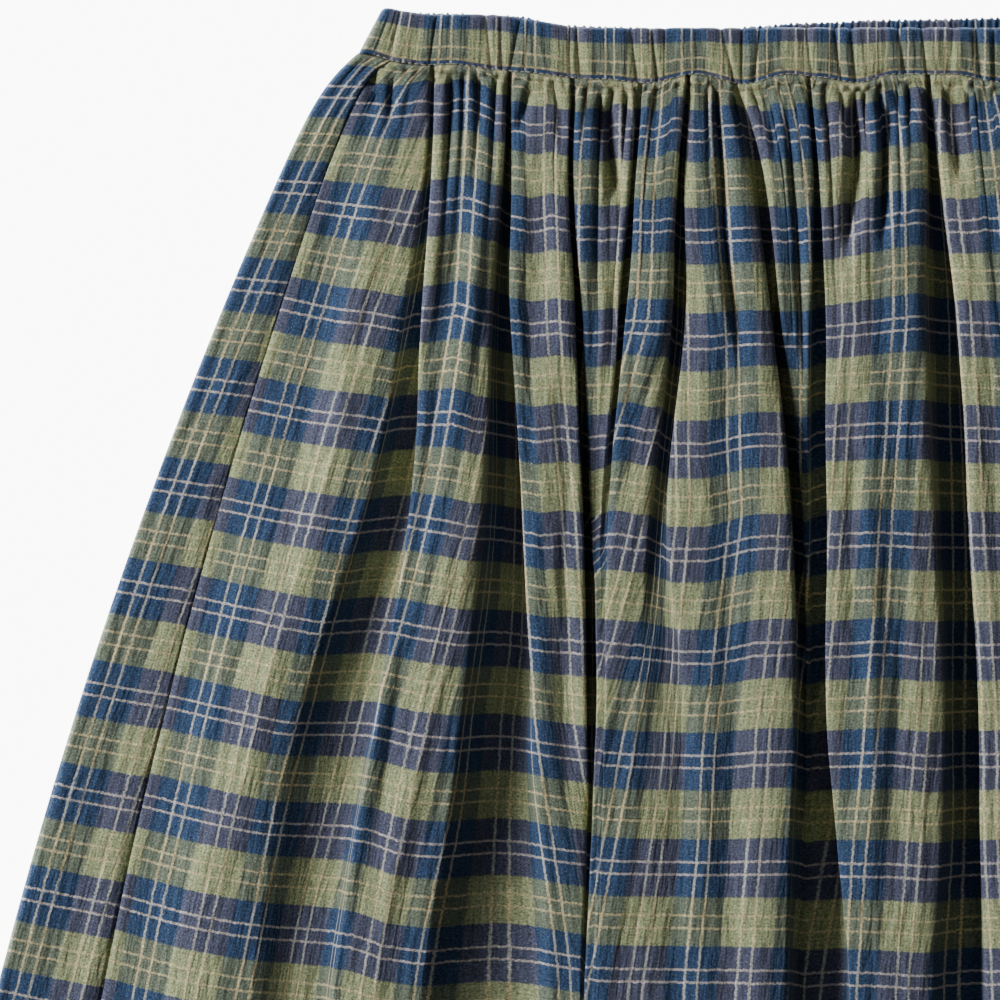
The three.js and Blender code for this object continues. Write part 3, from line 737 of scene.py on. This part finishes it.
def back_panel():
    """The back: up over both side folds and flat underneath. Each row runs from the left
    seam, round a half circle, across, round the other half circle and up to the seam."""
    down = front_rows()[:, None]
    edge = row_distance(half_width(down), down)
    radius = (SIDE_FOLD_HEIGHT - UNDERSIDE) / 2
    fold_x = half_width(edge) - 0.5 - radius
    seam_x = seam_on_row(down) + SEAM_GAP / 6
    share = np.linspace(0, 1, 21)[None, :-1]
    top_x = seam_x + (fold_x - seam_x) * share
    top_z = SIDE_SEAM_HEIGHT + (SIDE_FOLD_HEIGHT - SIDE_SEAM_HEIGHT) * smooth(0, 1, share)
    top_z = top_z * np.ones(down.shape)
    angle = np.pi * (0.5 - np.linspace(0, 1, 15)[None, :])
    fold_turn_x = fold_x + radius * np.cos(angle)
    fold_turn_z = UNDERSIDE + radius + radius * np.sin(angle) + 0 * down
    side_x = np.concatenate([top_x, fold_turn_x], axis=1)
    side_z = np.concatenate([top_z, fold_turn_z], axis=1)
    inner = np.linspace(-1, 1, 60)[None, 1:-1]
    middle_x = fold_x * inner
    middle_z = UNDERSIDE + 0 * middle_x
    x = np.concatenate([-side_x, middle_x, side_x[:, ::-1]], axis=1)
    z = np.concatenate([side_z, middle_z, side_z[:, ::-1]], axis=1)
    run = cloth_run(x, z)
    turn = share.shape[1] + angle.shape[1] // 2
    right_turn = run.shape[1] - 1 - turn
    from_left = run[:, turn : turn + 1] - run
    from_right = run - run[:, right_turn : right_turn + 1]
    left_u = WARP_REPEAT + from_left - EDGE_STRIPE
    right_u = EDGE_STRIPE - BACK_REPEATS * WARP_REPEAT - from_right
    between = smooth(*CHECK_MEETS, run / run[:, -1:])
    u = left_u * (1 - between) + right_u * between
    distance = row_distance(x, down)
    upper = z > UNDERSIDE + radius
    front_side = front_sag(x, np.exp(-distance / SEAM_DROOP_REACH))
    back_side = back_sag(x, np.exp(-distance / BACK_DROOP_REACH))
    y = -np.where(upper, front_side, back_side) - distance
    on_top = smooth(UNDERSIDE + radius, SIDE_FOLD_HEIGHT, z)
    past_seam = np.abs(x) - seam_x
    near_seam = bell(past_seam, SEAM_GROOVE_HALF) * on_top
    ridge = ALLOWANCE_RIDGE * smooth(*SIDE_RISE_SPAN, past_seam)
    ridge = ridge * (1 - smooth(*SIDE_FALL_SPAN, past_seam))
    z = z + on_top * ridge * smooth(8, 30, distance) - SEAM_GROOVE * near_seam
    tuck = BACK_TUCK_DEPTH * (1 - np.abs(np.sin(np.pi * past_seam / BACK_TUCK)))
    z = z - on_top * tuck * np.exp(-distance / BACK_TUCK_REACH) * smooth(2, 5, distance)
    z = z + on_top * smooth(*RIPPLES_BEGIN, distance) * ripple("back crinkles", u, down)
    z = z + on_top * smooth(*FOLDS_BEGIN, distance) * ripple("back soft folds", u, down)
    z = z + on_top * seam_ridge(distance)
    middle = np.stack([x, y, z], axis=-1)
    uv = np.stack([u, weft_place(down) + 0 * u], axis=-1)
    return middle, uv, CLOTH + UNDERSIDE_EXTRA * (1 - on_top)


# ---- the waistband


def ruche_depth(x, height):
    """Creases of the band: each a sharp fold with soft shoulders, on its own slanting line."""
    total = np.zeros(np.broadcast(x, height).shape)
    for top, seam, depth in RUCHES:
        middle = seam + (top - seam) * height / BAND_HEIGHT
        off = np.abs(x - middle) / RUCHE_HALF
        fold, shoulder = np.exp(-1.8 * off), bell(off, 2.6)
        total += depth * (RUCHE_SHARP * fold + (1 - RUCHE_SHARP) * shoulder)
    return total


def band_outline():
    """The ring seen from the waist: front to the right, a half turn, back to the left and
    a half turn. Returns each section's place, outward direction, share of front and warp."""
    radius = (BAND_FRONT_HEIGHT - BAND_BACK_HEIGHT) / 2
    end = WAIST_HALF - BAND_THICKNESS / 2 - radius
    front_x = np.linspace(-end, end, BAND_FRONT_STEPS)
    back_x = np.linspace(end, -end, BAND_BACK_STEPS)
    turn = np.pi * (0.5 - np.linspace(0, 1, 14)[1:-1])
    ones, zeros = np.ones_like, np.zeros_like
    out = end + radius * np.cos(turn)
    x = np.concatenate([front_x, out, back_x, -out])
    z = np.concatenate([ones(front_x), np.sin(turn), -ones(back_x), -np.sin(turn)])
    aside = np.concatenate([zeros(front_x), np.cos(turn), zeros(back_x), -np.cos(turn)])
    on_front = (1 + z) / 2
    repeats = 0.5 * WARP_REPEAT * np.arange(len(BAND_STRIPES))
    front_u = np.interp(front_x, BAND_STRIPES, repeats)
    back_u = np.interp(back_x, BAND_STRIPES, repeats)
    # the band is joined at the middle of the back, where its warp doesn't meet
    after_right = 2 * front_u[-1] + np.pi * radius - back_u
    before_left = 2 * front_u[0] - np.pi * radius - back_u
    back_u = np.where(back_x > 0, after_right, before_left)
    right_u = front_u[-1] + radius * (np.pi / 2 - turn)
    left_u = front_u[0] - radius * (np.pi / 2 + turn)
    u = np.concatenate([front_u, right_u, back_u, left_u])
    middle_z = BAND_BACK_HEIGHT + radius
    return x, middle_z + radius * z, aside, z, on_front, u


def band_profile():
    """One section: up the outside, over the top and down the inside. Returns height,
    distance from the middle of the thickness, side and the cloth's length from the seam."""
    half = BAND_THICKNESS / 2
    brim = BAND_HEIGHT - 0.9 * half
    outside = np.concatenate([np.linspace(0, 1.8, 7), np.linspace(2.4, brim, 13)[:-1]])
    corner = np.linspace(0, np.pi, 9)
    height = np.concatenate([outside, brim + 0.9 * half * np.sin(corner), outside[::-1]])
    side = np.concatenate([np.ones_like(outside), np.cos(corner), -np.ones_like(outside)])
    step = np.hypot(np.diff(height), half * np.diff(side))
    length = np.concatenate([[0], np.cumsum(step)])
    return height, half * side, side, length


def band_sections():
    """The elastic band as a ring of sections: the front ruched, with a sunk strip along
    its seam, the back finely ruffled, and both turns plain."""
    x, z, aside, upward, on_front, warp = (part[:, None] for part in band_outline())
    height, offset, side, length = (part[None, :] for part in band_profile())
    plain = smooth(0, 1, np.abs(upward))
    front, back = on_front * plain, (1 - on_front) * plain
    outer, inner = np.maximum(side, 0), np.maximum(-side, 0)
    crease = ruche_depth(x, height) * front
    puff = BAND_PUFF * np.sin(np.pi * np.clip(height / BAND_HEIGHT, 0, 1)) ** 0.6
    uneven = ripple("band", x, height)
    ditch = DITCH_DEPTH * bell(height - TURNED_STRIP, DITCH_HALF)
    spread = outer * (front * (puff + uneven - ditch) - RUCHE_CUT * crease)
    ruffle = ripple("ruffle", x, height)
    spread = spread + RUFFLE_DEPTH * ruffle * inner * back
    top = smooth(BAND_HEIGHT - 4, BAND_HEIGHT, height)
    lift = top * (RUFFLE_LIFT * ruffle * back - RUCHE_LIFT * crease)
    pinch = 1 - BAND_PINCH * np.exp(-height / PINCH_REACH) * outer
    offset = (offset + spread) * pinch
    inward = WAIST_HALF - np.abs(x)
    slant = BAND_END_SLANT * height / BAND_HEIGHT * np.exp(-inward / END_SLANT_REACH)
    lean = ripple("band lean", x, height) * front
    low = 1 - height / BAND_HEIGHT
    sag = on_front * front_sag(x, low) + (1 - on_front) * back_sag(x, 1)
    point_x = x + lean + aside * offset - np.sign(x) * slant
    point_y = SEAM_GAP + height + lift - sag
    point_z = np.maximum(z + upward * offset, 0.0)
    u = warp + 0 * height
    v = BAND_WEFT - length * BAND_TAKE_UP + BACK_WEFT_SHIFT * (1 - on_front)
    turned = (1 - smooth(TURNED_STRIP - 0.3, TURNED_STRIP + 0.1, height)) * outer
    v = v + TURNED_SHIFT * turned * on_front
    return np.stack([point_x, point_y, point_z], axis=-1), np.stack([u, v], axis=-1)


# ---- threads


def stitch_path(points, pitch, lift, sink, step):
    """A row of stitches: the path resampled, riding above the cloth and dipping under it."""
    length = np.concatenate([[0], np.cumsum(np.linalg.norm(np.diff(points, axis=0), axis=1))])
    place = np.arange(0, length[-1], step)
    line = np.stack([np.interp(place, length, points[:, k]) for k in range(3)], axis=1)
    wave = np.cos(2 * np.pi * place / pitch)
    line[:, 2] += np.where(wave > -0.55, lift, -sink)
    return line


def sewing(name, path, radius, material):
    """A row of stitches as a mesh."""
    points, faces = thread_tube(path, radius)
    return make_piece(name, points, faces, points[:, :2], material)


# ---- materials


def settle(inputs, values):
    """Gives constants to a node's own sockets."""
    for name, value in values.items():
        inputs[name].default_value = value


class Graph:
    """Short calls for making a material's nodes."""

    def __init__(self, name):
        self.material = bpy.data.materials.new(name)
        self.material.use_nodes = True
        self.tree = self.material.node_tree
        self.nodes = self.tree.nodes
        self.shader = self.nodes["Principled BSDF"]

    def link(self, value, socket):
        if isinstance(value, bpy.types.NodeSocket):
            self.tree.links.new(value, socket)
        else:
            socket.default_value = value

    def math(self, operation, a, b=0.0, c=0.0):
        node = self.nodes.new("ShaderNodeMath")
        node.operation = operation
        for value, socket in zip((a, b, c), node.inputs):
            self.link(value, socket)
        return node.outputs[0]

    def times(self, a, b):
        return self.math("MULTIPLY", a, b)

    def minus(self, a, b):
        return self.math("SUBTRACT", a, b)

    def times_plus(self, a, b, c):
        return self.math("MULTIPLY_ADD", a, b, c)

    def around(self, value, spread, middle):
        """A noise's value, from 0 to 1, spread evenly about a middle."""
        return self.times_plus(self.minus(value, 0.5), spread, middle)

    def mix(self, share, a, b):
        node = self.nodes.new("ShaderNodeMix")
        node.data_type = "RGBA"
        self.link(share, node.inputs[0])
        self.link(a, node.inputs[6])
        self.link(b, node.inputs[7])
        return node.outputs[2]

    def step(self, low, high, value):
        node = self.nodes.new("ShaderNodeMapRange")
        node.interpolation_type = "SMOOTHSTEP"
        self.link(value, node.inputs["Value"])
        settle(node.inputs, {"From Min": low, "From Max": high})
        return node.outputs["Result"]

    def vector(self, x, y, z=0.0):
        node = self.nodes.new("ShaderNodeCombineXYZ")
        for value, socket in zip((x, y, z), node.inputs):
            self.link(value, socket)
        return node.outputs[0]

    def cloth_noise(self, u, v, across, down, detail=2.0, roughness=0.5):
        """Noise on the cloth, with so many grains to a metre across and down it."""
        vector = self.vector(self.times(u, across), self.times(v, down))
        return self.noise(vector, 1.0, detail, roughness)

    def noise(self, vector, scale, detail=2.0, roughness=0.5):
        node = self.nodes.new("ShaderNodeTexNoise")
        self.link(vector, node.inputs["Vector"])
        settle(node.inputs, {"Scale": scale, "Detail": detail, "Roughness": roughness})
        return node.outputs["Fac"]

    def bump(self, height, distance, strength, normal=None):
        node = self.nodes.new("ShaderNodeBump")
        settle(node.inputs, {"Strength": strength, "Distance": distance})
        self.link(height, node.inputs["Height"])
        if normal is not None:
            self.link(normal, node.inputs["Normal"])
        return node.outputs[0]


def linear(red, green, blue):
    """A colour as seen, 0 to 255, turned into the shader's linear values."""
    seen = np.array([red, green, blue]) / 255
    value = np.where(seen <= 0.04045, seen / 12.92, ((seen + 0.055) / 1.055) ** 2.4)
    return (*value.tolist(), 1.0)


NAVY_ON_BLUE = linear(38, 62, 95)
NAVY_ON_TAN = linear(70, 74, 96)
GREEN_ON_BLUE = linear(98, 108, 93)
GREEN_ON_TAN = linear(142, 149, 111)
LINE_ON_NAVY_WEFT = linear(190, 180, 172)
LINE_ON_NAVY_WARP = linear(165, 165, 160)
LINE_ON_GREEN = linear(192, 178, 136)
LINT = linear(176, 176, 160)

# The flannel's finer sizes, in metres.
YARN_JITTER, STRIPE_EDGE = 0.0012, 0.0005
TWILL_REPEAT, TWILL_SLOPE = 0.0013, 1.15
LINE_INNER, LINE_OUTER = 0.0002, 0.0003  # soft edges of a pale line
CRINKLE_HEIGHT, NAP_HEIGHT = 0.0017, 0.00022
# How strongly single yarns, warp and weft streaks, the twill and lint change the colour.
YARNS, WARP_STREAKS, WEFT_STREAKS, TWILL_SHADE, LINT_SHARE = 3.6, 1.0, 0.7, 0.16, 0.34


def check_flannel():
    """Brushed cotton twill in a woven check, worked out from the cloth's own UV map."""
    g = Graph("check_flannel")
    uv = g.nodes.new("ShaderNodeUVMap")
    uv.uv_map = "cloth"
    split = g.nodes.new("ShaderNodeSeparateXYZ")
    g.link(uv.outputs[0], split.inputs[0])
    plain = split.outputs[0], split.outputs[1]
    u = g.around(g.cloth_noise(*plain, 40.0, 700.0), YARN_JITTER, plain[0])
    v = g.around(g.cloth_noise(*plain, 700.0, 40.0), YARN_JITTER, plain[1])
    warp_repeat, weft_repeat = WARP_REPEAT * MM, WEFT_REPEAT * MM
    navy_band, green_band = NAVY_BAND * MM, GREEN_BAND * MM
    first_navy = FIRST_NAVY * MM

    def pair(place, repeat, start):
        """The two lines set about each band's middle: one on them, nought off them."""
        turns = g.math("DIVIDE", g.minus(place, start), repeat)
        turns = g.math("FRACT", g.math("ADD", turns, 0.5))
        off = g.times(g.math("ABSOLUTE", g.minus(turns, 0.5)), repeat)
        line = g.math("ABSOLUTE", g.minus(off, PAIR_SPACING * MM / 2))
        half = LINE_WIDTH * MM / 2
        return g.minus(1.0, g.step(half - LINE_INNER, half + LINE_OUTER, line))

    # warp stripes: tan ones centred on the half repeats
    phase = g.math("FRACT", g.math("DIVIDE", u, warp_repeat))
    off_tan = g.times(g.math("ABSOLUTE", g.minus(phase, 0.5)), warp_repeat)
    quarter = warp_repeat / 4
    tan = g.minus(1.0, g.step(quarter - STRIPE_EDGE, quarter + STRIPE_EDGE, off_tan))
    # weft bands: navy first in each repeat, then green
    turns = g.math("DIVIDE", g.minus(v, first_navy), weft_repeat)
    within = g.times(g.math("FRACT", turns), weft_repeat)
    starts = g.step(navy_band - STRIPE_EDGE, navy_band + STRIPE_EDGE, within)
    green_end = navy_band + green_band
    ends = g.minus(1.0, g.step(green_end - STRIPE_EDGE, green_end, within))
    green = g.times(starts, ends)
    warp_line = pair(u, warp_repeat / 2, 0.0)
    weft_line = pair(v, weft_repeat / 2, first_navy + navy_band / 2)
    # twill: diagonal ribs, broken up a little
    rib = g.math("ADD", plain[0], g.times(plain[1], TWILL_SLOPE))
    rib = g.times(rib, 2 * np.pi / TWILL_REPEAT)
    broken = g.cloth_noise(*plain, 900.0, 900.0, 2.0, 0.7)
    twill = g.times_plus(g.math("SINE", g.times_plus(broken, 3.0, rib)), 0.5, 0.5)
    # the check's colours
    navy = g.mix(tan, NAVY_ON_BLUE, NAVY_ON_TAN)
    greens = g.mix(tan, GREEN_ON_BLUE, GREEN_ON_TAN)
    colour = g.mix(green, navy, greens)
    warp_share = g.times(warp_line, g.times_plus(twill, -0.2, 0.98))
    weft_share = g.times(weft_line, g.times_plus(twill, 0.22, 0.6))
    colour = g.mix(warp_share, colour, g.mix(green, LINE_ON_NAVY_WARP, LINE_ON_GREEN))
    colour = g.mix(weft_share, colour, g.mix(green, LINE_ON_NAVY_WEFT, LINE_ON_GREEN))
    # grain: yarns a little lighter or darker than their stripe, and pale lint
    speckle = g.cloth_noise(*plain, 1150.0, 1150.0, 3.0, 0.7)
    grain = g.around(speckle, YARNS, 1.0)
    streaks = g.cloth_noise(*plain, 1100.0, 110.0, 2.0, 0.6)
    grain = g.times(grain, g.around(streaks, WARP_STREAKS, 1.0))
    streaks = g.cloth_noise(*plain, 110.0, 1100.0, 2.0, 0.6)
    grain = g.times(grain, g.around(streaks, WEFT_STREAKS, 1.0))
    grain = g.times(grain, g.times_plus(twill, TWILL_SHADE, 1 - TWILL_SHADE / 2))
    shaded = g.nodes.new("ShaderNodeVectorMath")
    shaded.operation = "SCALE"
    g.link(colour, shaded.inputs[0])
    g.link(grain, shaded.inputs["Scale"])
    lint = g.cloth_noise(*plain, 1300.0, 1300.0, 2.0, 0.6)
    colour = g.mix(g.times(g.step(0.5, 0.84, lint), LINT_SHARE), shaded.outputs[0], LINT)
    g.link(colour, g.shader.inputs["Base Color"])
    settle(g.shader.inputs, {"Roughness": 0.92, "Specular IOR Level": 0.22})
    settle(g.shader.inputs, {"Sheen Weight": 0.12, "Sheen Roughness": 0.5})
    # relief: crinkles along the warp, then the nap and the twill
    crinkle = g.bump(g.cloth_noise(*plain, 270.0, 46.0, 2.5, 0.55), CRINKLE_HEIGHT, 0.9)
    nap = g.times_plus(speckle, 0.6, g.times(twill, 0.4))
    g.link(g.bump(nap, NAP_HEIGHT, 0.8, crinkle), g.shader.inputs["Normal"])
    return g.material


def thread(name, colour):
    """Sewing thread: one colour, twisted, with a low sheen."""
    g = Graph(name)
    place = g.nodes.new("ShaderNodeTexCoord").outputs["Object"]
    twist = g.noise(place, 2400.0, 1.0)
    shade = g.mix(twist, [c * 0.75 for c in colour[:3]] + [1.0], colour)
    g.link(shade, g.shader.inputs["Base Color"])
    settle(g.shader.inputs, {"Roughness": 0.7})
    return g.material


# ---- camera

VIEW_ACROSS, SENSOR = 400.0, 36.0
CAMERA_HEIGHT, CLOTH_TOP = 3000.0, 14.0
CAMERA_X, CAMERA_BELOW_SEAM = -124.8, 177.6

lens = bpy.data.cameras.new("camera")
lens.sensor_width = SENSOR
lens.lens = SENSOR * CAMERA_HEIGHT / VIEW_ACROSS
camera = add("camera", lens)
camera_y, camera_z = WAIST_Y - CAMERA_BELOW_SEAM, CAMERA_HEIGHT + CLOTH_TOP
camera.location = (CAMERA_X * MM, camera_y * MM, camera_z * MM)
bpy.context.scene.camera = camera

# ---- the skirt

flannel = check_flannel()

middle, uv, thickness = front_panel()
points, faces, flat_uv = cloth_wall(middle, uv, thickness)
front = make_piece("front_panel_cloth", points, faces, flat_uv, flannel)
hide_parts("front_panel")

points, faces, flat_uv = cloth_wall(*back_panel())
points[:, 2] = np.maximum(points[:, 2], 0.0)
back = make_piece("back_panel_cloth", points, faces, flat_uv, flannel)
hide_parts("back_panel")

sections, band_uv = band_sections()
points, faces, flat_uv = ring_loop(sections, band_uv)
band = make_piece("waistband_cloth", points, faces, flat_uv, flannel)
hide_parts("waistband")

# the waist seam's stitches lie on the turned strip, and the hem's on the front panel
seam_row = sections[:BAND_FRONT_STEPS, 1] - np.array([0.0, 0.1, 0.0])
seam_row = seam_row[np.abs(seam_row[:, 0]) < WAIST_HALF - 6]
hem_row = middle[np.searchsorted(front_rows(), SKIRT_LENGTH - HEM_DEPTH + 1)]
pale_thread = thread("pale_thread", linear(168, 166, 148))
seam_stitches = stitch_path(seam_row, SEAM_PITCH, lift=0.16, sink=0.5, step=0.5)
hem_stitches = stitch_path(hem_row, HEM_PITCH, lift=CLOTH / 2 + 0.1, sink=0.3, step=0.85)
sewing("seam_stitches", seam_stitches, THREAD_RADIUS, pale_thread)
sewing("hem_stitches", hem_stitches, THREAD_RADIUS, pale_thread)

# ---- the studio

FLOOR_REACH, FLOOR_HEIGHT = 30.0, -0.0004  # in metres, just clear of the cloth

floor_mesh = bpy.data.meshes.new("floor")
corners = [(-1, -1), (1, -1), (1, 1), (-1, 1)]
corners = [(x * FLOOR_REACH, y * FLOOR_REACH, FLOOR_HEIGHT) for x, y in corners]
floor_mesh.from_pydata(corners, [], [(0, 1, 2, 3)])
floor = add("floor", floor_mesh)
paper = bpy.data.materials.new("white_paper")
paper.use_nodes = True
paper_shader = paper.node_tree.nodes["Principled BSDF"].inputs
settle(paper_shader, {"Base Color": (0.9, 0.9, 0.9, 1), "Roughness": 0.95})
settle(paper_shader, {"Emission Color": (1, 1, 1, 1), "Emission Strength": 9.0})
floor_mesh.materials.append(paper)


def softbox(name, spot, aim, size, power):
    """A square soft light at a spot, turned to face a point, in metres and watts."""
    lamp = bpy.data.lights.new(name, "AREA")
    lamp.shape = "SQUARE"
    lamp.size = size
    lamp.energy = power
    light = add(name, lamp)
    light.location = spot
    light.rotation_mode = "QUATERNION"
    light.rotation_quaternion = (Vector(aim) - Vector(spot)).to_track_quat("-Z", "Y")


softbox("key", spot=(-3.5, 1.5, 1.87), aim=(-0.1, 0, 0), size=1.6, power=302.0)
softbox("fill", spot=(-0.8, 0.4, 2.8), aim=(0, 0, 0), size=1.6, power=2.5)

# an even white light all round
world = bpy.data.worlds.new("studio")
world.use_nodes = True
backdrop = world.node_tree.nodes["Background"].inputs
settle(backdrop, {"Color": (1, 1, 1, 1), "Strength": 0.07})
bpy.context.scene.world = world
